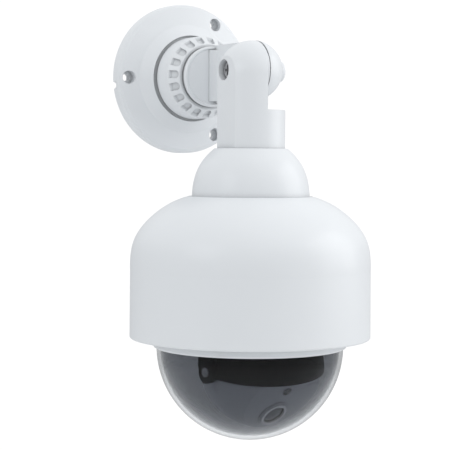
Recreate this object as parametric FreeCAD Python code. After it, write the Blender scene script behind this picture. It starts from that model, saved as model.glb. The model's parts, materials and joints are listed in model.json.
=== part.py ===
"""Wall-mounted dome camera: wall plate, swivel arm, tilting housing and a pan-tilt eye in a clear bubble.

Frame, in millimetres: the wall is the plane Y = 0 and the camera stands out towards -Y. +Z is up.
The origin is the centre of the wall plate's back face. Depths "off the wall" are positive numbers
that are turned into -Y places by the helper functions.
"""
import FreeCAD, Part
import math
import os

V = FreeCAD.Vector

# ---- driving dimensions -------------------------------------------------------------------------
WALL = 2.4                # plain wall thickness of the mouldings
FIT = 0.06                # running clearance on a radius

PLATE_R = 43.0            # wall plate
PLATE_RIM = 8.0
PLATE_FLANGE = 10.3
RING_R = (27.5, 30.0)     # ring that rests on the wall under the boss, inner and outer radius
BOSS_R = 30.5
BOSS_TOP = 15.4
MOUTH_R = 24.4            # shallow mouth of the boss, and the socket below it
SOCKET_TOP = 14.2
SOCKET_R = 21.4
WEB_BACK = 3.2
WEB_FRONT = 6.0
HUB_R = 14.0
SCREW_PCD = 74.0
SCREW_COUNT = 3
SCREW_HOLE_R = 2.3
SCREW_SINK_R = 3.7
SCREW_SINK_TOP = 4.6
SCREW_BOSS_R = 5.4
NOTCH_R = 2.0             # drain notch in the rim
NOTCH_Z = -4.5

CROWN_R = 23.3            # index ring on the root of the arm, with pockets round its sloping shoulder
CROWN_BACK = 7.0
CROWN_SOCKET_R = 20.9
CROWN_SKIRT = 16.8
CROWN_EDGE = 30.0
CROWN_FRONT = 35.5
CROWN_FRONT_R = 18.8
CROWN_POCKETS = 19
POCKET_W = 4.2
POCKET_DEPTH = 1.6
POCKET_TURN = 3.0         # first pocket, up from the -X side, degrees

ROOT_R = 17.0             # horizontal arm
ROOT_FRONT = 40.0
NECK_R = 15.6
BLEND_R = 4.0             # between the arm's front and the flat of its lug
LUG_R = 16.2
LUG_END = 85.0
LUG_FACE = 2.0
DUCT = (7.3, -8.5)        # cable passage through the lug, (x, z)
DUCT_R = 3.0
REACH = 84.0              # wall to the housing's axis
PIVOT_Y = -81.2           # axis of the arm's tilt
PIVOT_Z = 1.5
PAD_X = 15.6              # flats of the knuckle
CAP_LENGTH = 4.7

ARM_R = 18.4              # tilting arm
ARM_TOP_Z = -0.8          # centre of its round head
ARM_FACE = -0.3
HEAD_FACE = 1.3           # raised round of the head, against the lug
HEAD_R = 17.0
HEAD_Y = -84.5
STEP_Z = -19.8
ARM_FOOT_Z = -40.4
COLLAR_TOP_R = 19.7
COLLAR_R = 31.8
COLLAR_Z = -66.6
COLLAR_DECK = -43.8
CABLE_HOLE_R = 13.0

HOUSING_R = 65.2
HOUSING_Z = -142.6
SHOULDER_END = -106.0     # where the rounded shoulder turns into the straight side
SEAL_R = (30.4, 28.8)     # seal in a groove of the housing's top, outer and inner radius
SEAL_DEEP = 1.2
BEZEL_R = 52.4
BEZEL_Z = -147.8
BEZEL_TOP = HOUSING_Z + 2.5
BEZEL_SINK = 1.5          # counterbores of its screws
BUBBLE_R = 50.6
BUBBLE_WALL = 2.0
BUBBLE_Z = -147.3
LINER_WALL = 0.45

CHASSIS_TOP = -104.0      # fixed works
CHASSIS = 2.0
BEARING_LENGTH = 9.0
PAN_HUB_R = 8.0
PAN_GEAR_Z = -118.0
GEAR_MODULE = 1.0
GEAR_WIDTH = 4.0
PAN_TEETH = 60
PINION_TEETH = 15
MOTOR_X = (PAN_TEETH + PINION_TEETH) * GEAR_MODULE / 2

EYE_R = 32.4              # camera ball
EYE_WALL = 2.2
EYE_Y = -93.6
EYE_Z = -157.6
EYE_FACE = 23.4
EYE_DOWN = 41.0           # how far the eye looks below level at rest, degrees
EYE_PAN = 9.0             # how far it looks to +X at rest, degrees
LENS_DROP = 11.2
LENS_R = 6.0
BARREL_R = 7.4
SENSOR_RISE = 6.2
SENSOR_R = 2.4
HOOD_R = 33.9
HOOD_SLOPE = 10.0         # fall of the hood's lower edge towards its front, degrees
HOOD_TURN = -30.0         # direction of that fall, from straight ahead of the eye
YOKE_IN = 34.4            # yoke arms, distance from the eye's centre
YOKE_OUT = 37.2
SHAFT_R = 2.5

PLATE_SCREWS = (SCREW_COUNT, SCREW_PCD / 2, 60)      # circles of screws: number, radius, first angle
RETAINER_SCREWS = (3, 11.0, 90)
ARM_SCREWS = (3, 15.4, 90)
COLLAR_SCREWS = (4, 24.6, 45)
BEZEL_SCREWS = (4, 57.6, 45)
CHASSIS_SCREWS = (3, 46.0, 30)
PILOT_R = 1.25            # core hole of a self-tapping screw, and its clearance hole
CLEAR_R = 1.6

X_AXIS = V(1, 0, 0)
Y_AXIS = V(0, 1, 0)
Z_AXIS = V(0, 0, 1)
NODES = {}


# ---- helpers ------------------------------------------------------------------------------------
def axis_y(radius, near, far, x=0.0, z=0.0):
    """Cylinder square to the wall, from one depth off the wall to another."""
    return Part.makeCylinder(radius, far - near, V(x, -near, z), V(0, -1, 0))


def axis_x(radius, x0, x1, y=PIVOT_Y, z=PIVOT_Z):
    return Part.makeCylinder(radius, x1 - x0, V(x0, y, z), X_AXIS)


def axis_z(radius, z0, z1, x=0.0, y=-REACH):
    return Part.makeCylinder(radius, z1 - z0, V(x, y, z0), Z_AXIS)


def ring_y(outer, inner, near, far):
    return axis_y(outer, near, far).cut(axis_y(inner, near - 1, far + 1))


def ring_x(outer, inner, x0, x1):
    return axis_x(outer, x0, x1).cut(axis_x(inner, x0 - 1, x1 + 1))


def ring_z(outer, inner, z0, z1, x=0.0, y=-REACH):
    return axis_z(outer, z0, z1, x, y).cut(axis_z(inner, z0 - 1, z1 + 1, x, y))


def block(x0, x1, y0, y1, z0, z1):
    return Part.makeBox(x1 - x0, y1 - y0, z1 - z0, V(x0, y0, z0))


def revolve_y(points):
    """Turn a closed outline of (radius, depth) points about the wall-plate axis."""
    wire = Part.makePolygon([V(r, -d, 0) for r, d in points + points[:1]])
    return Part.Face(wire).revolve(V(0, 0, 0), Y_AXIS, 360)


def revolve_z(edges):
    """Turn a closed outline of edges in the X-Z plane about the housing axis."""
    face = Part.Face(Part.Wire(Part.__sortEdges__(edges)))
    face.translate(V(0, -REACH, 0))
    return face.revolve(V(0, -REACH, 0), Z_AXIS, 360)


def outline(points):
    pts = [V(r, 0, z) for r, z in points]
    return [Part.makeLine(a, b) for a, b in zip(pts, pts[1:])]


def curve(points):
    spline = Part.BSplineCurve()
    spline.interpolate([V(r, 0, z) for r, z in points])
    return spline.toShape()


def polar(count, radius, start=0.0):
    """Places evenly round a circle, as pairs of numbers."""
    for i in range(count):
        a = math.radians(start + 360.0 * i / count)
        yield radius * math.cos(a), radius * math.sin(a)


def fuse(first, *rest):
    shape = first
    for other in rest:
        shape = shape.fuse(other)
    return shape.removeSplitter()


def screw(length, shank_r, head_r, head_h, recess_r=1.3):
    """Pan-head screw along +Z with its head's underside at z = 0 and a cross recess in the top."""
    head = Part.makeCylinder(head_r, head_h, V(0, 0, -head_h), Z_AXIS)
    head = head.makeFillet(head_h * 0.35, [e for e in head.Edges if abs(e.BoundBox.ZMin + head_h) < 1e-6
                                           and e.BoundBox.ZLength < 1e-6])
    slot = block(-recess_r, recess_r, -recess_r * 0.25, recess_r * 0.25, -head_h - 1, -head_h * 0.35)
    cross = fuse(slot, slot.rotated(V(0, 0, 0), Z_AXIS, 90))
    return fuse(head, Part.makeCylinder(shank_r, length, V(0, 0, 0), Z_AXIS)).cut(cross)


def place(shape, at, direction):
    """Point a shape's +Z along a direction and set its origin at a place."""
    moved = shape.copy()
    moved.Placement = FreeCAD.Placement(at, FreeCAD.Rotation(Z_AXIS, direction))
    return moved


def group(shapes):
    return Part.makeCompound(list(shapes))


def spur(teeth, module, width, bore, phase=0.0):
    """Spur gear with straight-flanked teeth, standing on z = 0."""
    pitch = teeth * module / 2
    tip = pitch + module * 0.85
    root = pitch - module * 1.15
    step = 360.0 / teeth
    pts = []
    for i in range(teeth):
        for r, off in ((root, -0.31), (tip, -0.1), (tip, 0.1), (root, 0.31)):
            a = math.radians(phase + step * (i + off))
            pts.append(V(r * math.cos(a), r * math.sin(a), 0))
    face = Part.Face(Part.makePolygon(pts + pts[:1]))
    gear = face.extrude(V(0, 0, width))
    return gear.cut(Part.makeCylinder(bore, width + 2, V(0, 0, -1), Z_AXIS))


def to_eye(shape):
    """Move a piece drawn about the eye's centre, looking along -Y, to its pose at rest."""
    moved = shape.copy()
    moved.rotate(V(0, 0, 0), X_AXIS, EYE_DOWN)
    return to_pan(moved, V(0, EYE_Y + REACH, EYE_Z))


def to_pan(shape, at=V(0, 0, 0)):
    """Move a piece drawn about the housing axis, facing -Y, to the pan angle at rest."""
    moved = shape.copy()
    moved.translate(at)
    moved.rotate(V(0, 0, 0), Z_AXIS, EYE_PAN)
    moved.translate(V(0, -REACH, 0))
    return moved


def add(name, shape):
    NODES[name] = shape


# ---- wall plate ---------------------------------------------------------------------------------
def wall_plate():
    body = revolve_y([(HUB_R + FIT, WEB_BACK), (RING_R[0], WEB_BACK), (RING_R[0], 0), (RING_R[1], 0),
                      (RING_R[1], PLATE_FLANGE - WALL), (PLATE_R - WALL, PLATE_RIM - WALL),
                      (PLATE_R - WALL, 0), (PLATE_R, 0), (PLATE_R, PLATE_RIM - 2.4),
                      (PLATE_R - 0.7, PLATE_RIM - 0.9), (PLATE_R - 2.2, PLATE_RIM),
                      (BOSS_R + 0.8, PLATE_FLANGE - 0.1), (BOSS_R - 0.2, PLATE_FLANGE + 0.6),
                      (MOUTH_R + 0.9, BOSS_TOP - 0.5), (MOUTH_R + 0.4, BOSS_TOP), (MOUTH_R, BOSS_TOP - 0.3),
                      (MOUTH_R, SOCKET_TOP), (SOCKET_R, SOCKET_TOP), (SOCKET_R, WEB_FRONT),
                      (HUB_R + FIT, WEB_FRONT)])
    for x, z in polar(*PLATE_SCREWS):
        body = body.fuse(axis_y(SCREW_BOSS_R, 0, PLATE_RIM - 1, x, z))
    for x, z in polar(*PLATE_SCREWS):
        body = body.cut(axis_y(SCREW_HOLE_R, -1, 12, x, z))
        body = body.cut(axis_y(SCREW_SINK_R, SCREW_SINK_TOP, 12, x, z))
    return body.cut(axis_y(NOTCH_R, -1, 4, -PLATE_R, NOTCH_Z))


def wall_pieces():
    add("wall_plate", wall_plate())
    gasket_r = SCREW_PCD / 2 - SCREW_BOSS_R - 0.2
    add("plate_gasket", ring_y(gasket_r, RING_R[1], 0, PLATE_FLANGE - WALL - 0.6))
    add("friction_washer", ring_y(SOCKET_R - 0.5, HUB_R + 0.6, WEB_FRONT, CROWN_BACK - 0.15))


# ---- swivel arm ---------------------------------------------------------------------------------
def crown():
    """Ring with a sloping front shoulder that carries a row of round-ended pockets."""
    ring = revolve_y([(ROOT_R, CROWN_BACK), (CROWN_SOCKET_R, CROWN_BACK), (CROWN_SOCKET_R, CROWN_SKIRT),
                      (CROWN_R - 0.3, CROWN_SKIRT), (CROWN_R, CROWN_SKIRT + 0.3), (CROWN_R, CROWN_EDGE - 0.4),
                      (CROWN_R - 0.2, CROWN_EDGE), (CROWN_FRONT_R + 0.2, CROWN_FRONT - 0.4),
                      (CROWN_FRONT_R - 0.4, CROWN_FRONT), (ROOT_R, CROWN_FRONT)])
    step = 360.0 / CROWN_POCKETS
    for i in range(CROWN_POCKETS):
        ring = ring.cut(pocket().rotated(V(0, 0, 0), Y_AXIS, POCKET_TURN - 90.0 + step * i))
    return ring


def pocket():
    """Cutter for the pocket at the top of the ring: square at its back, round towards the front."""
    half = POCKET_W / 2
    slope = math.degrees(math.atan2(CROWN_R - CROWN_FRONT_R, CROWN_FRONT - CROWN_EDGE))
    tool = block(-half, half, -half / 2, 8, -POCKET_DEPTH, 6)
    tool = tool.fuse(Part.makeCylinder(half, POCKET_DEPTH + 6, V(0, -half / 2, -POCKET_DEPTH), Z_AXIS))
    tool.rotate(V(0, 0, 0), X_AXIS, slope)
    tool.translate(V(0, -(CROWN_EDGE + CROWN_FRONT) / 2, (CROWN_R + CROWN_FRONT_R) / 2))
    return tool.common(block(-10, 10, -60, -CROWN_EDGE - 0.4, 0, 40))


def swivel_arm():
    outline_root = [(0, WEB_BACK - 0.5), (HUB_R, WEB_BACK - 0.5), (HUB_R, CROWN_BACK), (ROOT_R, CROWN_BACK),
                    (ROOT_R, CROWN_FRONT - 1.2), (NECK_R, CROWN_FRONT - 0.5), (NECK_R, ROOT_FRONT - 2.9),
                    (ROOT_R, ROOT_FRONT - 2.5), (ROOT_R, ROOT_FRONT - 0.6), (ROOT_R - 0.5, ROOT_FRONT),
                    (ROOT_R - 1.3, ROOT_FRONT), (ROOT_R - 1.9, ROOT_FRONT - 0.6), (0, ROOT_FRONT - 0.6)]
    root = revolve_y(outline_root)
    lug = axis_y(LUG_R, ROOT_FRONT - 3, LUG_END, 0, PIVOT_Z).fuse(
        Part.makeSphere(LUG_R, V(0, -LUG_END, PIVOT_Z)))
    lug = lug.common(block(LUG_FACE, PAD_X, -LUG_END - 30, -ROOT_FRONT + 3, -30, 30))
    start = -ROOT_FRONT - BLEND_R
    blend = block(LUG_FACE - BLEND_R, LUG_FACE + 1, start, 1 - ROOT_FRONT, -30, 30)
    blend = blend.cut(Part.makeCylinder(BLEND_R, 60, V(LUG_FACE - BLEND_R, start, -30), Z_AXIS))
    blend = blend.common(axis_y(LUG_R - 0.8, ROOT_FRONT - 3, LUG_END, 0, PIVOT_Z))
    seat = axis_x(6.6, 10, PAD_X)
    arm = fuse(root, lug, seat, blend.common(axis_y(ROOT_R - 1.9, 0, LUG_END)))
    arm = arm.cut(axis_y(8.0, 0, 8.5)).cut(axis_y(12.2, 8.5, 31))
    arm = arm.cut(axis_y(DUCT_R, 30, REACH, *DUCT))
    arm = arm.cut(axis_z(DUCT_R, -30, DUCT[1], DUCT[0]))
    for x, z in polar(*RETAINER_SCREWS):
        arm = arm.cut(axis_y(PILOT_R, 0, 8, x, z))
    arm = arm.cut(axis_x(2.65, 0, 12)).cut(axis_x(5.0, 12.8, PAD_X + 1))
    return arm.cut(place(hexagon(8.2, 5.6), V(7.4, PIVOT_Y, PIVOT_Z), X_AXIS))


def hexagon(across, height):
    corner = across / math.sqrt(3)
    pts = [V(x, y, 0) for x, y in polar(6, corner, 30)]
    return Part.Face(Part.makePolygon(pts + pts[:1])).extrude(V(0, 0, height))


def swivel_pieces():
    add("index_crown", crown())
    add("swivel_arm", swivel_arm())
    retainer = ring_y(19.0, 6.0, 0.5, WEB_BACK - 0.5)
    screws = []
    for x, z in polar(*RETAINER_SCREWS):
        retainer = retainer.cut(axis_y(1.5, 0, 4, x, z)).cut(axis_y(2.9, 0, 1.6, x, z))
        screws.append(place(screw(6.0, 1.25, 2.7, 1.0, 0.9), V(x, -1.6, z), V(0, -1, 0)))
    add("swivel_retainer", retainer)
    add("retainer_screws", group(screws))
    add("cable_grommet", ring_y(6.0, 3.5, 0.3, 4.2).fuse(ring_y(7.6, 3.5, WEB_BACK - 0.5, 4.2)))
    add("pivot_friction_disc", ring_x(12.0, 3.2, HEAD_FACE + 0.15, LUG_FACE))
    add("pivot_screw", place(screw(23.4, 2.6, 4.8, 3.0, 2.9), V(-10.1, PIVOT_Y, PIVOT_Z), X_AXIS))
    add("pivot_washer", ring_x(5.2, 2.62, -10.1, -9.25))
    add("pivot_spring_washer", spring_washer())
    nut = place(hexagon(8.0, 4.0), V(8.8, PIVOT_Y, PIVOT_Z), X_AXIS).cut(axis_x(2.6, 0, 20))
    add("pivot_nut", nut)
    cap = axis_x(6.0, PAD_X, PAD_X + CAP_LENGTH)
    rim = [e for e in cap.Edges if e.BoundBox.XMin > PAD_X + CAP_LENGTH - 0.1 and e.BoundBox.XLength < 1e-6]
    cap = cap.makeFillet(1.8, rim).fuse(ring_x(5.0, 3.6, 13.4, PAD_X))
    add("pivot_cap", cap)


def spring_washer():
    washer = ring_x(3.9, 2.62, 7.4, 8.8)
    split = block(7, 9, PIVOT_Y - 0.5, PIVOT_Y + 0.5, PIVOT_Z, PIVOT_Z + 6)
    return washer.cut(split.rotated(V(8, PIVOT_Y, PIVOT_Z), X_AXIS, 25))


# ---- tilting arm and housing --------------------------------------------------------------------
def tilt_arm():
    arm = axis_z(ARM_R, ARM_FOOT_Z, ARM_TOP_Z).fuse(Part.makeSphere(ARM_R, V(0, -REACH, ARM_TOP_Z)))
    arm = arm.common(block(-PAD_X, PAD_X, -REACH - 30, -REACH + 30, ARM_FOOT_Z, 30))
    arm = arm.removeSplitter()
    pads = [e for e in arm.Edges if abs(abs(e.BoundBox.XMin) - PAD_X) < 1e-5 and e.BoundBox.XLength < 1e-5]
    arm = arm.makeFillet(0.5, [e for e in pads if e.BoundBox.ZMin > ARM_FOOT_Z - 1
                               and e.BoundBox.ZLength > 1])
    above = block(ARM_FACE, 30, -REACH - 30, -REACH + 30, STEP_Z, 30)
    arm = arm.cut(above.cut(axis_x(HEAD_R, ARM_FACE - 1, HEAD_FACE, HEAD_Y)))
    arm = arm.cut(axis_x(5.6, -20, -9.2)).cut(axis_x(2.6 + FIT, -20, 5))
    arm = arm.cut(axis_z(13.0, ARM_FOOT_Z - 1, -24))
    arm = arm.cut(axis_z(DUCT_R, -30, STEP_Z + 1, DUCT[0]))
    for x, y in polar(*ARM_SCREWS):
        arm = arm.cut(axis_z(PILOT_R, ARM_FOOT_Z - 1, ARM_FOOT_Z + 9, x, -REACH + y))
    return arm


def collar():
    """Domed cap between arm and housing, turned about the housing axis."""
    dome = [(COLLAR_TOP_R, ARM_FOOT_Z), (23.4, -43.8), (26.2, -47.2), (29.0, -52.2), (30.9, -58.2),
            (COLLAR_R, COLLAR_Z)]
    inner = [(COLLAR_TOP_R - 0.8, COLLAR_DECK), (23.4, -48.2), (26.4, -53.2), (28.4, -59.4),
             (COLLAR_R - WALL, COLLAR_Z)]
    edges = [curve(dome), curve(inner)]
    edges += outline([dome[-1], inner[-1]])
    edges += outline([inner[0], (CABLE_HOLE_R, COLLAR_DECK), (CABLE_HOLE_R, ARM_FOOT_Z), dome[0]])
    shell = revolve_z(edges)
    for x, y in polar(*COLLAR_SCREWS):
        shell = shell.fuse(axis_z(3.6, COLLAR_Z, -50, x, -REACH + y).common(solid_collar(dome)))
    for x, y in polar(*COLLAR_SCREWS):
        shell = shell.cut(axis_z(PILOT_R, COLLAR_Z - 1, COLLAR_Z + 9, x, -REACH + y))
    for x, y in polar(*ARM_SCREWS):
        shell = shell.cut(axis_z(CLEAR_R, -60, -30, x, -REACH + y))
    return shell.removeSplitter()


def solid_collar(dome):
    return revolve_z([curve(dome)] + outline([dome[-1], (0, COLLAR_Z), (0, ARM_FOOT_Z), dome[0]]))


SHOULDER = [(33.6, -66.2), (43.4, -70.0), (52.4, -76.2), (59.4, -83.6), (63.2, -90.6), (64.8, -98.4),
            (65.0, SHOULDER_END)]


def top_housing():
    inner = [(31.5, -68.0), (42.2, -72.2), (50.8, -78.2), (57.4, -85.2), (60.9, -91.6), (62.4, -98.8),
             (62.6, SHOULDER_END)]
    edges = [curve(SHOULDER), curve(inner)]
    edges += outline([SHOULDER[-1], (HOUSING_R, HOUSING_Z + 0.6), (HOUSING_R - 0.6, HOUSING_Z),
                      (HOUSING_R - WALL, HOUSING_Z), inner[-1]])
    edges += outline([inner[0], (CABLE_HOLE_R, COLLAR_Z - WALL), (CABLE_HOLE_R, COLLAR_Z),
                      (COLLAR_R + 0.6, COLLAR_Z), SHOULDER[0]])
    shell = revolve_z(edges)
    for x, y in polar(*BEZEL_SCREWS):
        boss = axis_z(3.6, BEZEL_TOP, -118, x, -REACH + y)
        web = block(0, 8, -1.0, 1.0, BEZEL_TOP, -118)
        web = web.rotated(V(0, 0, 0), Z_AXIS, math.degrees(math.atan2(y, x)))
        web.translate(V(x, -REACH + y, 0))
        keep = axis_z(HOUSING_R - 1.0, BEZEL_TOP, -118)
        shell = shell.fuse(boss.fuse(web).common(keep))
    for x, y in polar(*BEZEL_SCREWS):
        shell = shell.cut(axis_z(PILOT_R, BEZEL_TOP - 1, -126, x, -REACH + y))
    for x, y in polar(*COLLAR_SCREWS):
        shell = shell.cut(axis_z(1.7, -72, -60, x, -REACH + y))
    within = revolve_z([curve(SHOULDER)] + outline([SHOULDER[-1], (0, SHOULDER_END), (0, SHOULDER[0][1]),
                                                        SHOULDER[0]]))
    within.translate(V(0, 0, -1.0))
    for x, y in polar(*CHASSIS_SCREWS):
        post = axis_z(3.4, CHASSIS_TOP, -70, x, -REACH + y).common(within)
        shell = shell.fuse(post).cut(axis_z(PILOT_R, CHASSIS_TOP - 1, CHASSIS_TOP + 9, x, -REACH + y))
    shell = shell.cut(ring_z(*SEAL_R, COLLAR_Z - SEAL_DEEP, COLLAR_Z + 1))
    return shell.removeSplitter()


def bezel():
    ring = ring_z(62.4, BUBBLE_R + 0.4, HOUSING_Z, BEZEL_TOP)
    lip = ring_z(BEZEL_R, BUBBLE_R + 0.4, BEZEL_Z, HOUSING_Z + 1)
    ends = [e for e in lip.Edges if e.BoundBox.ZMax < BEZEL_Z + 0.1 and e.BoundBox.XLength > 2 * BEZEL_R - 1]
    ring = ring.fuse(lip.makeFillet(1.2, ends))
    for x, y in polar(*BEZEL_SCREWS):
        ring = ring.cut(axis_z(CLEAR_R, -150, -130, x, -REACH + y))
        ring = ring.cut(axis_z(3.1, -150, HOUSING_Z + BEZEL_SINK, x, -REACH + y))
    return ring.removeSplitter()


def bubble(outer, wall, flange_r, flange_top, flange_h, centre=BUBBLE_Z):
    """Hemispherical shell with a short neck and an outward flange at its top."""
    c = V(0, -REACH, centre)
    down = block(-60, 60, -REACH - 60, -REACH + 60, centre - 60, centre)
    ball = Part.makeSphere(outer, c).cut(Part.makeSphere(outer - wall, c)).common(down)
    neck = ring_z(outer, outer - wall, centre, flange_top)
    flange = ring_z(flange_r, outer - wall, flange_top - flange_h, flange_top)
    return fuse(ball, neck, flange)


def housing_pieces():
    add("tilt_arm", tilt_arm())
    add("collar_cap", collar())
    add("top_housing", top_housing())
    add("bezel_ring", bezel())
    add("bubble_dome", bubble(BUBBLE_R, BUBBLE_WALL, 53.4, BEZEL_TOP + 2.8, 1.6))
    add("smoked_liner", bubble(BUBBLE_R - BUBBLE_WALL - 0.05, LINER_WALL, BUBBLE_R - BUBBLE_WALL - 0.05,
                               BEZEL_TOP + 2.8, 1.0))
    add("bubble_seal", ring_z(53.4, BUBBLE_R + 0.1, BEZEL_TOP, BEZEL_TOP + 1.2))
    add("housing_seal", ring_z(*SEAL_R, COLLAR_Z - SEAL_DEEP, COLLAR_Z))
    add("arm_screws", upward_screws(ARM_SCREWS, 10.0, COLLAR_DECK, 2.6))
    add("collar_screws", upward_screws(COLLAR_SCREWS, 9.0, COLLAR_Z - WALL, 2.6))
    add("bezel_screws", upward_screws(BEZEL_SCREWS, 10.0, HOUSING_Z + BEZEL_SINK, 2.8, 1.4))


def upward_screws(circle, length, level, head_r, head_h=1.6):
    """Group of self-tapping screws driven upwards, with the undersides of their heads at a level."""
    return group(place(screw(length, PILOT_R, head_r, head_h, head_r / 2), V(x, -REACH + y, level), Z_AXIS)
                 for x, y in polar(*circle))


# ---- fixed works inside the housing -------------------------------------------------------------
def fixed_works():
    plate = axis_z(52.0, CHASSIS_TOP - CHASSIS, CHASSIS_TOP)
    for x, y in polar(*CHASSIS_SCREWS):
        plate = plate.cut(axis_z(1.6, -110, -100, x, -REACH + y))
    plate = plate.cut(axis_z(PAN_HUB_R + 3.0, -110, -100))
    plate = plate.cut(axis_z(4.0, -110, -100, MOTOR_X))
    add("chassis_plate", plate)
    add("chassis_screws", upward_screws(CHASSIS_SCREWS, 9.0, CHASSIS_TOP - CHASSIS, 2.8))
    motor = axis_z(11.0, CHASSIS_TOP, CHASSIS_TOP + 16, MOTOR_X)
    add("pan_motor", motor.cut(axis_z(1.6, -106, -96, MOTOR_X)))
    post = ring_z(PAN_HUB_R + 3.0, PAN_HUB_R, CHASSIS_TOP - BEARING_LENGTH, CHASSIS_TOP)
    add("pan_bearing", post.fuse(ring_z(PAN_HUB_R + 6.0, PAN_HUB_R, CHASSIS_TOP, CHASSIS_TOP + 1.6)))
    board = block(-26, 26, -REACH - 20, -REACH + 30, CHASSIS_TOP + 5, CHASSIS_TOP + 6.6)
    board = board.cut(axis_z(15.0, -110, -80)).cut(axis_z(12.0, -110, -80, MOTOR_X))
    add("main_board", board)
    add("board_spacers", group(axis_z(2.0, CHASSIS_TOP, CHASSIS_TOP + 5, x, -REACH + y)
                               for x, y in ((-22, -16), (22, -16), (-22, 26), (22, 26))))
    add("board_connector", block(-21, -9, -REACH + 16, -REACH + 24, CHASSIS_TOP + 6.6, CHASSIS_TOP + 13))
    slip = axis_z(6.6, CHASSIS_TOP + 4.4, CHASSIS_TOP + 18).fuse(
        axis_z(14.0, CHASSIS_TOP + 3.2, CHASSIS_TOP + 5.0))
    legs = [axis_z(1.1, CHASSIS_TOP + 1.6, CHASSIS_TOP + 4, x, -REACH + y) for x, y in polar(3, 12.7, 0)]
    add("slip_ring", fuse(slip, *legs))


# ---- pan carriage and eye -----------------------------------------------------------------------
def pan_works():
    gear = spur(PAN_TEETH, GEAR_MODULE, GEAR_WIDTH, PAN_HUB_R - 2)
    gear.translate(V(0, -REACH, PAN_GEAR_Z))
    add("pan_gear", gear)
    hub = ring_z(PAN_HUB_R - FIT, 5.0, PAN_GEAR_Z + GEAR_WIDTH, CHASSIS_TOP + 1.8)
    clip = ring_z(PAN_HUB_R + 2.6, 5.0, CHASSIS_TOP + 1.8, CHASSIS_TOP + 2.8)
    add("pan_spindle", fuse(hub, clip))
    pinion = spur(PINION_TEETH, GEAR_MODULE, GEAR_WIDTH, 1.2, 180.0 + 180.0 / PINION_TEETH)
    pinion.translate(V(MOTOR_X, -REACH, PAN_GEAR_Z))
    shaft = axis_z(1.2, PAN_GEAR_Z, CHASSIS_TOP + 2, MOTOR_X)
    add("pan_pinion", fuse(pinion, shaft))
    add("pan_yoke", yoke())
    add("eye_hood", hood())
    tilt_y = EYE_Y + REACH
    bushes = [side_disc(4.0, tilt_y, s).cut(side_disc(SHAFT_R + FIT, tilt_y, s)) for s in (-1, 1)]
    add("tilt_bushes", group(to_pan(b) for b in bushes))


def side_disc(radius, y, side):
    """Disc as thick as a yoke arm, on the tilt axis at one side of the eye."""
    at = V(min(side * YOKE_IN, side * YOKE_OUT), y, EYE_Z)
    return Part.makeCylinder(radius, YOKE_OUT - YOKE_IN, at, X_AXIS)


def yoke():
    """Black carriage: a turntable under the pan gear with two arms down to the eye's shafts."""
    top = PAN_GEAR_Z
    table = Part.makeCylinder(47.0, 2.5, V(0, 0, top - 2.5), Z_AXIS)
    tilt_y = EYE_Y + REACH
    skirt = Part.makeCylinder(47.0, 18.0, V(0, 0, top - 20.5), Z_AXIS).cut(
        Part.makeCylinder(45.4, 20.0, V(0, 0, top - 21.5), Z_AXIS))
    shape = table.fuse(skirt)
    for s in (-1, 1):
        sides = sorted((s * YOKE_IN, s * YOKE_OUT))
        arm = block(*sides, tilt_y - 6, tilt_y + 6, EYE_Z, top - 1)
        shape = shape.fuse(arm.fuse(side_disc(6.0, tilt_y, s))).cut(side_disc(4.0, tilt_y, s))
    return to_pan(shape)


def hood():
    """Black eyelid over the top of the eye, hung from the turntable by a round foot."""
    shell = Part.makeSphere(HOOD_R).cut(Part.makeSphere(HOOD_R - 1.0))
    below = block(-60, 60, -60, 60, -60, 0)
    below.rotate(V(0, 0, 0), X_AXIS, HOOD_SLOPE)
    below.rotate(V(0, 0, 0), Z_AXIS, HOOD_TURN)
    foot = Part.makeCylinder(9.0, 6.0, V(0, 0, HOOD_R - 3.0), Z_AXIS).cut(Part.makeSphere(HOOD_R - 0.5))
    lid = fuse(shell.cut(below), foot.common(block(-20, 20, -20, 20, 0, PAN_GEAR_Z - 2.5 - EYE_Z)))
    lid = lid.cut(Part.makeCylinder(SHAFT_R + 1.5, 100, V(-50, 0, 0), X_AXIS))
    return to_pan(lid, V(0, EYE_Y + REACH, EYE_Z))


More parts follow.
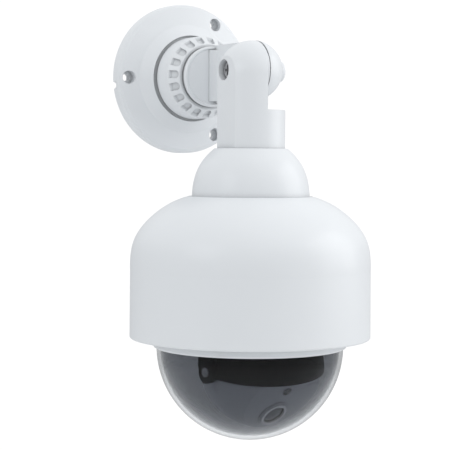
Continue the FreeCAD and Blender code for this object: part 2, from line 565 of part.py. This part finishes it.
def eye_pieces():
    ball = Part.makeSphere(EYE_R)
    hollow = Part.makeSphere(EYE_R - EYE_WALL)
    front = block(-40, 40, -EYE_FACE, 0, -40, 40)
    rear = block(-40, 40, 0, 40, -40, 40)
    face_wall = block(-40, 40, -EYE_FACE, -EYE_FACE + EYE_WALL, -40, 40).common(ball)
    shell = fuse(ball.cut(hollow).common(front), face_wall)
    at = V(0, -EYE_FACE, -LENS_DROP)
    shell = shell.fuse(Part.makeCylinder(9.0, 1.4, V(0, -EYE_FACE + 1, -LENS_DROP), V(0, -1, 0)))
    shell = shell.cut(Part.makeCylinder(BARREL_R, 8, at + V(0, 4, 0), V(0, -1, 0)))
    shell = shell.cut(Part.makeCylinder(SENSOR_R, 8, V(0, -EYE_FACE + 4, SENSOR_RISE), V(0, -1, 0)))
    shafts = [Part.makeCylinder(SHAFT_R, 11.2, V(min(s * 26.5, s * 37.7), 0, 0), X_AXIS) for s in (-1, 1)]
    add("eye_front_shell", to_eye(shell.cut(group(shafts))))
    add("eye_rear_shell", to_eye(ball.cut(hollow).common(rear).cut(group(shafts))))
    add("tilt_shafts", group(to_eye(s) for s in shafts))
    add("tilt_motor", to_eye(Part.makeCylinder(10.0, 15.5, V(11.0, 0, 0), X_AXIS)))
    barrel = Part.makeCylinder(BARREL_R, 15.8, V(0, -EYE_FACE + 15.4, -LENS_DROP), V(0, -1, 0))
    barrel = barrel.cut(Part.makeCylinder(LENS_R, 6, V(0, -EYE_FACE + 2, -LENS_DROP), V(0, -1, 0)))
    add("lens_barrel", to_eye(barrel))
    add("lens_glass", to_eye(lens()))
    trim = Part.makeCylinder(BARREL_R + 0.2, 1.0, V(0, -EYE_FACE - 0.4, -LENS_DROP), V(0, -1, 0))
    trim = trim.cut(Part.makeCylinder(LENS_R + 0.2, 3.0, V(0, -EYE_FACE + 1, -LENS_DROP), V(0, -1, 0)))
    add("lens_ring", to_eye(trim))
    window = Part.makeCylinder(SENSOR_R, 3.0, V(0, -EYE_FACE + 2.6, SENSOR_RISE), V(0, -1, 0))
    add("light_sensor", to_eye(window))
    board = block(-10.5, 10.5, -EYE_FACE + 15.4, -EYE_FACE + 17.0, -22, 14)
    add("image_sensor_board", to_eye(board))


def lens():
    """Front element of the lens: a shallow domed disc."""
    disc = Part.makeCylinder(LENS_R, 4.0, V(0, -EYE_FACE + 2, -LENS_DROP), V(0, -1, 0))
    cap = Part.makeSphere(11.0, V(0, -EYE_FACE + 9.4, -LENS_DROP))
    return disc.common(cap)


def build():
    wall_pieces()
    swivel_pieces()
    housing_pieces()
    fixed_works()
    pan_works()
    eye_pieces()


build()
os.makedirs("parts", exist_ok=True)
for node, solid in NODES.items():
    solid.exportStep("parts/%s.step" % node)
    box = solid.BoundBox
    print("%-22s valid %s solids %d volume %9.1f  x %.1f..%.1f y %.1f..%.1f z %.1f..%.1f" % (
        node, solid.isValid(), len(solid.Solids), solid.Volume,
        box.XMin, box.XMax, box.YMin, box.YMax, box.ZMin, box.ZMax))
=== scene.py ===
"""Studio view of the wall-mounted dome camera: a finish for every node, light and camera."""
import json
import math
import bpy
from mathutils import Matrix, Vector


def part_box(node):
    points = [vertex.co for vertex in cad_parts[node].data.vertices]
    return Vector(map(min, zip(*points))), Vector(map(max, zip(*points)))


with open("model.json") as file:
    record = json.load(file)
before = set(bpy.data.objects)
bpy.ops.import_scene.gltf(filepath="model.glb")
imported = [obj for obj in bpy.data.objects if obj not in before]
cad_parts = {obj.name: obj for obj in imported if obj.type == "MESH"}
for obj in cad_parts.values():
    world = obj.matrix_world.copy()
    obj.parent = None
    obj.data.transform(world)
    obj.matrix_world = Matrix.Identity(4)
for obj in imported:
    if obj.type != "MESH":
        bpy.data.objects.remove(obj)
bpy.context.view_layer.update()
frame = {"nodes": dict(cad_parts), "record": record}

# ---- places, read from the frame, in metres -------------------------------------------------------
HOUSING_LOW, HOUSING_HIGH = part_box("top_housing")
AXIS_X = (HOUSING_LOW.x + HOUSING_HIGH.x) / 2
AXIS_Y = (HOUSING_LOW.y + HOUSING_HIGH.y) / 2
MIDDLE = Vector((AXIS_X, AXIS_Y, HOUSING_HIGH.z))

# ---- view: angles in degrees, lens in millimetres -------------------------------------------------
VIEW_AZIMUTH = -29
VIEW_PITCH = 2.57
VIEW_ROLL = 0.32
VIEW_DISTANCE = 0.832
VIEW_ASIDE = 0.0138
VIEW_LEVEL = -0.0445
LENS = 123.2
SENSOR = 36.0

# ---- light and floor ------------------------------------------------------------------------------
ROOM_STRENGTH = 0.96
ROOM_BELOW = (0.50, 0.51, 0.52, 1)
ROOM_ABOVE = (0.97, 0.985, 1.0, 1)
PAPER_STRENGTH = 1.05
FLOOR_RIM = 7.0
FLOOR_LEVEL = -1.1
FLOOR_SIDES = 64
FADE_FROM, FADE_TO = 1.6, 4.5

# ---- shading: edges flatter than this angle in degrees are smooth, and moulded edges look this round
SMOOTH_BELOW = 28
EDGE_RADIUS = 0.0004


# ---- node graph helpers ---------------------------------------------------------------------------
class Graph:
    """A material's node tree with short calls for the nodes that the finishes below share."""

    def __init__(self, name, **sockets):
        self.material = bpy.data.materials.new(name)
        self.material.use_nodes = True
        self.tree = self.material.node_tree
        self.shader = self.tree.nodes["Principled BSDF"]
        self.where = self.add("ShaderNodeTexCoord").outputs["Object"]
        for socket, value in sockets.items():
            self.shader.inputs[socket.replace("_", " ")].default_value = value

    def add(self, kind, **settings):
        node = self.tree.nodes.new(kind)
        for key, value in settings.items():
            setattr(node, key, value)
        return node

    def link(self, source, target):
        self.tree.links.new(source, target)

    def noise(self, size, detail=3.0, rough=0.5, stretch=(1, 1, 1)):
        """Noise whose features are about size metres across."""
        mapping = self.add("ShaderNodeMapping")
        mapping.inputs["Scale"].default_value = stretch
        self.link(self.where, mapping.inputs["Vector"])
        node = self.add("ShaderNodeTexNoise")
        node.inputs["Scale"].default_value = 1 / size
        node.inputs["Detail"].default_value = detail
        node.inputs["Roughness"].default_value = rough
        self.link(mapping.outputs["Vector"], node.inputs["Vector"])
        return node.outputs["Fac"]

    def cells(self, size, feature="F1", output="Distance"):
        node = self.add("ShaderNodeTexVoronoi", feature=feature)
        node.inputs["Scale"].default_value = 1 / size
        self.link(self.where, node.inputs["Vector"])
        return node.outputs[output]

    def spread(self, value, low, high, start=0.3, stop=0.7):
        """Map the values from start to stop onto low to high."""
        node = self.add("ShaderNodeMapRange")
        for socket, number in (("From Min", start), ("From Max", stop), ("To Min", low), ("To Max", high)):
            node.inputs[socket].default_value = number
        self.link(value, node.inputs["Value"])
        return node.outputs["Result"]

    def blend(self, factor, first, second):
        """Mix two colours, or two colour outputs, by a factor."""
        node = self.add("ShaderNodeMix", data_type="RGBA")
        self.link(factor, node.inputs[0])
        for socket, value in ((node.inputs[6], first), (node.inputs[7], second)):
            if hasattr(value, "default_value"):
                self.link(value, socket)
            else:
                socket.default_value = (*value, 1)
        return node.outputs[2]

    def crevice_shade_mask(self, reach):
        """Mask for painted shade: 0 in tight corners and gaps, 1 on open faces."""
        node = self.add("ShaderNodeAmbientOcclusion", samples=6)
        node.inputs["Distance"].default_value = reach
        return self.spread(node.outputs["AO"], 0.0, 1.0, 0.15, 0.85)

    def eased(self, radius):
        """Normals turned round the edges, as if each were eased by a small radius."""
        node = self.add("ShaderNodeBevel", samples=6)
        node.inputs["Radius"].default_value = radius
        return node.outputs["Normal"]

    def bump(self, height, depth, strength=1.0, under=None):
        node = self.add("ShaderNodeBump")
        node.inputs["Strength"].default_value = strength
        node.inputs["Distance"].default_value = depth
        self.link(height, node.inputs["Height"])
        if under is not None:
            self.link(under, node.inputs["Normal"])
        return node.outputs["Normal"]

    def finish(self, colour=None, rough=None, normal=None):
        for socket, source in (("Base Color", colour), ("Roughness", rough), ("Normal", normal)):
            if source is not None:
                self.link(source, self.shader.inputs[socket])
        return self.material


# ---- finishes -------------------------------------------------------------------------------------
def moulded(name, light, dark, rough, grain, grain_depth, painted_shade=0.0, coat=0.0, gloss=0.5):
    """Injection-moulded plastic: slow flow shading, fine spark-eroded grain, and painted shade that darkens
    its corners and gaps.
    """
    g = Graph(name, Coat_Weight=coat, Coat_Roughness=0.2, IOR=1.52, Specular_IOR_Level=gloss)
    colour = g.blend(g.noise(0.035, 4, 0.55), dark, light)
    # Painted shade: an ambient-occlusion mask darkens the colour in corners and gaps, standing in for the
    # shade that falls there.
    if painted_shade:
        painted_shade_colour = tuple(c * (1 - painted_shade) for c in dark)
        colour = g.blend(g.crevice_shade_mask(0.004), painted_shade_colour, colour)
    patchy = g.spread(g.noise(0.012, 5, 0.6), rough - 0.05, rough + 0.06)
    slow = g.bump(g.noise(0.02, 1), 0.00008, 0.4, g.eased(EDGE_RADIUS))
    fine = g.bump(g.noise(grain, 2, 0.6), grain_depth, 0.5, slow)
    return g.finish(colour, patchy, fine)


def metal(name, colour, rough, streak, metallic=1.0):
    """Plated or turned metal with fine drawn streaks and a few cloudy patches."""
    g = Graph(name, Metallic=metallic, IOR=2.2)
    cloudy = g.blend(g.noise(0.006, 4), tuple(c * 0.8 for c in colour), colour)
    drawn = g.noise(0.0006, 3, 0.7, streak)
    return g.finish(cloudy, g.spread(drawn, rough - 0.08, rough + 0.1), g.bump(drawn, 0.00002, 0.6))


def plated_sheet(name):
    """Zinc-plated steel with the spangle of its crystals."""
    g = Graph(name, Metallic=1.0)
    crystal = 0.004
    shade = g.spread(g.cells(crystal, output="Color"), 0, 1, 0.2, 0.8)
    grey = g.blend(shade, (0.45, 0.46, 0.48), (0.68, 0.69, 0.7))
    rough = g.spread(g.cells(crystal), 0.28, 0.5, 0, 0.8)
    return g.finish(grey, rough, g.bump(g.noise(0.0008, 3), 0.00002, 0.5))


def foam(name):
    """Closed-cell foam, its cut cells open at the surface, with painted shade darkening the bottom of each
    open cell.
    """
    g = Graph(name, Specular_IOR_Level=0.2)
    cells = g.cells(0.0011)
    # Painted shade: colour darkest at the bottom of each cell pit, where shade falls.
    return g.finish(g.blend(g.spread(cells, 0, 1, 0, 0.7), (0.02, 0.02, 0.021), (0.085, 0.085, 0.09)),
                    g.spread(cells, 0.95, 0.75, 0, 0.7), g.bump(cells, 0.0004, 0.8))


def window(name, tint, rough, shade, bend):
    """Polished plastic that refracts, and lets lamps through with its own tint."""
    g = Graph(name, Base_Color=(*tint, 1), IOR=bend, Transmission_Weight=1.0, Specular_IOR_Level=0.5)
    polish = g.spread(g.noise(0.01, 3), rough * 0.4, rough)
    g.finish(rough=polish, normal=g.bump(g.noise(0.03, 1), 0.00004, 0.15))
    through = g.add("ShaderNodeBsdfTransparent")
    through.inputs["Color"].default_value = (*shade, 1)
    pick = g.add("ShaderNodeMixShader")
    g.link(g.add("ShaderNodeLightPath").outputs["Is Shadow Ray"], pick.inputs[0])
    g.link(g.shader.outputs[0], pick.inputs[1])
    g.link(through.outputs[0], pick.inputs[2])
    g.link(pick.outputs[0], g.tree.nodes["Material Output"].inputs["Surface"])
    return g.material


def coated_lens(name):
    """Dark lens front with a painted purple and green sheen of its coating, stronger towards the rim."""
    g = Graph(name, Coat_Weight=1.0, Coat_Roughness=0.02, Coat_IOR=1.7, IOR=1.7)
    facing = g.add("ShaderNodeLayerWeight")
    facing.inputs["Blend"].default_value = 0.35
    # Painted reflection: the coating's coloured sheen is painted into the base colour, stronger where the
    # surface turns away from the view.
    coating_sheen_colour = g.blend(g.noise(0.004, 1), (0.10, 0.03, 0.16), (0.02, 0.11, 0.10))
    colour = g.blend(facing.outputs["Facing"], (0.012, 0.013, 0.018), coating_sheen_colour)
    return g.finish(colour, g.spread(g.noise(0.002, 2), 0.03, 0.07))


def circuit(name):
    """Green solder mask over copper tracks, with a fine weave of glass cloth."""
    g = Graph(name, Coat_Weight=0.3, Coat_Roughness=0.2)
    tracks = g.spread(g.cells(0.0034, "DISTANCE_TO_EDGE"), 1, 0, 0.04, 0.07)
    colour = g.blend(tracks, (0.010, 0.085, 0.035), (0.03, 0.2, 0.085))
    weave = g.noise(0.0007, 2, 0.5, (1, 3, 1))
    return g.finish(colour, g.spread(weave, 0.3, 0.45), g.bump(tracks, 0.00004, 0.7, g.bump(weave, 0.00001)))


WHITE, WHITE_DEEP = (0.84, 0.86, 0.88), (0.815, 0.835, 0.855)
# Finishes given a corner darkening get painted shade in their corners and gaps; on grey_abs it goes nearly
# black.
FINISHES = {
    "white_abs": moulded("white_abs", WHITE, WHITE_DEEP, 0.36, 0.0006, 0.00001, painted_shade=0.5, coat=0.15),
    "foam": foam("foam"),
    "acetal": moulded("acetal", (0.80, 0.79, 0.74), (0.74, 0.73, 0.68), 0.42, 0.0008, 0.00001, painted_shade=0.2),
    "rubber": moulded("rubber", (0.035, 0.035, 0.036), (0.018, 0.018, 0.02), 0.75, 0.0005, 0.00005,
                      gloss=0.3),
    "steel": metal("steel", (0.62, 0.62, 0.63), 0.3, (1, 1, 6)),
    "zinc_sheet": plated_sheet("zinc_sheet"),
    "clear_pc": window("clear_pc", (0.965, 0.975, 0.98), 0.02, (0.97, 0.975, 0.98), 1.21),
    "smoked_pc": window("smoked_pc", (0.43, 0.44, 0.465), 0.03, (0.62, 0.625, 0.64), 1.10),
    "black_abs": moulded("black_abs", (0.008, 0.008, 0.009), (0.004, 0.004, 0.005), 0.7, 0.0005, 0.00003,
                         gloss=0.1),
    "grey_abs": moulded("grey_abs", (0.54, 0.55, 0.58), (0.49, 0.50, 0.53), 0.3, 0.0006, 0.00001, painted_shade=0.97,
                        coat=0.2),
    "lens_trim": metal("lens_trim", (0.95, 0.95, 0.96), 0.34, (1, 1, 1)),
    "optic_glass": coated_lens("optic_glass"),
    "sensor_window": moulded("sensor_window", (0.022, 0.016, 0.02), (0.012, 0.010, 0.012), 0.12, 0.002,
                             0.00001, coat=0.6),
    "circuit_board": circuit("circuit_board"),
}


def dress_nodes():
    """Give each node the finish of its slot and smooth its curved faces."""
    slots = {part["node"]: part["material_slot"] for part in frame["record"]["subparts"]}
    for node, obj in frame["nodes"].items():
        obj.data.materials.clear()
        obj.data.materials.append(FINISHES[slots[node]])
        for face in obj.data.polygons:
            face.use_smooth = True
        obj.data.set_sharp_from_angle(angle=math.radians(SMOOTH_BELOW))


# ---- studio ---------------------------------------------------------------------------------------
def aim(obj, target):
    obj.rotation_euler = (target - obj.location).to_track_quat("-Z", "Y").to_euler()


def softbox(name, azimuth, height, distance, size, power, colour=(1, 1, 1)):
    """Square soft light at an azimuth round the object, aimed at the top of its housing."""
    lamp = bpy.data.lights.new(name, "AREA")
    lamp.energy = power
    lamp.size = size
    lamp.color = colour
    obj = bpy.data.objects.new(name, lamp)
    turn = math.radians(azimuth)
    obj.location = MIDDLE + Vector((math.sin(turn) * distance, -math.cos(turn) * distance, height))
    aim(obj, MIDDLE)
    bpy.context.scene.collection.objects.link(obj)


def studio():
    """Pale room that is darker below, white paper behind the object, and two softboxes."""
    world = bpy.data.worlds.new("studio")
    world.use_nodes = True
    tree = world.node_tree
    room = tree.nodes["Background"]
    room.inputs["Strength"].default_value = ROOM_STRENGTH
    height = tree.nodes.new("ShaderNodeSeparateXYZ")
    tree.links.new(tree.nodes.new("ShaderNodeTexCoord").outputs["Generated"], height.inputs[0])
    ceiling = tree.nodes.new("ShaderNodeValToRGB")
    tree.links.new(height.outputs["Z"], ceiling.inputs[0])
    ceiling.color_ramp.elements[0].color = ROOM_BELOW
    ceiling.color_ramp.elements[1].color = ROOM_ABOVE
    ceiling.color_ramp.elements[1].position = 0.5
    tree.links.new(ceiling.outputs["Color"], room.inputs["Color"])
    paper = tree.nodes.new("ShaderNodeBackground")
    paper.inputs["Color"].default_value = (1, 1, 1, 1)
    paper.inputs["Strength"].default_value = PAPER_STRENGTH
    pick = tree.nodes.new("ShaderNodeMixShader")
    rays = tree.nodes.new("ShaderNodeLightPath")
    tree.links.new(rays.outputs["Is Camera Ray"], pick.inputs[0])
    tree.links.new(room.outputs[0], pick.inputs[1])
    tree.links.new(paper.outputs[0], pick.inputs[2])
    tree.links.new(pick.outputs[0], tree.nodes["World Output"].inputs["Surface"])
    bpy.context.scene.world = world
    softbox("key", azimuth=62, height=0.35, distance=1.1, size=1.0, power=5.0)
    softbox("fill", azimuth=-75, height=0.5, distance=1.2, size=0.6, power=1.5, colour=(0.95, 0.98, 1.0))
    floor()


def floor():
    """Pale disc below the camera that fades into the white paper with distance."""
    mesh = bpy.data.meshes.new("floor")
    turns = [math.tau * i / FLOOR_SIDES for i in range(FLOOR_SIDES)]
    corners = [(FLOOR_RIM * math.cos(turn), FLOOR_RIM * math.sin(turn), FLOOR_LEVEL) for turn in turns]
    mesh.from_pydata(corners, [], [tuple(range(FLOOR_SIDES))])
    g = Graph("floor", Roughness=0.9)
    reach = g.add("ShaderNodeVectorMath", operation="LENGTH")
    g.link(g.where, reach.inputs[0])
    fade = g.spread(reach.outputs["Value"], 1, 0, FADE_FROM, FADE_TO)
    g.link(fade, g.shader.inputs["Alpha"])
    g.finish(g.blend(g.noise(0.4), (0.86, 0.865, 0.87), (0.88, 0.885, 0.89)))
    mesh.materials.append(g.material)
    obj = bpy.data.objects.new("floor", mesh)
    bpy.context.scene.collection.objects.link(obj)


def camera():
    """Camera at the front left, level with the foot of the tilt arm and tipped a little down."""
    azimuth, pitch, roll = (math.radians(angle) for angle in (VIEW_AZIMUTH, VIEW_PITCH, VIEW_ROLL))
    data = bpy.data.cameras.new("view")
    data.lens, data.sensor_width = LENS, SENSOR
    obj = bpy.data.objects.new("view", data)
    right = Vector((math.cos(azimuth), math.sin(azimuth), 0))
    back = Vector((math.sin(azimuth), -math.cos(azimuth), 0))
    obj.location = Vector((AXIS_X, AXIS_Y, VIEW_LEVEL)) - right * VIEW_ASIDE + back * VIEW_DISTANCE
    turn = Matrix.Rotation(azimuth, 3, "Z") @ Matrix.Rotation(math.pi / 2 - pitch, 3, "X")
    obj.rotation_euler = (turn @ Matrix.Rotation(roll, 3, "Z")).to_euler()
    bpy.context.scene.collection.objects.link(obj)
    bpy.context.scene.camera = obj


bpy.context.scene.view_settings.view_transform = "Standard"
dress_nodes()
studio()
camera()
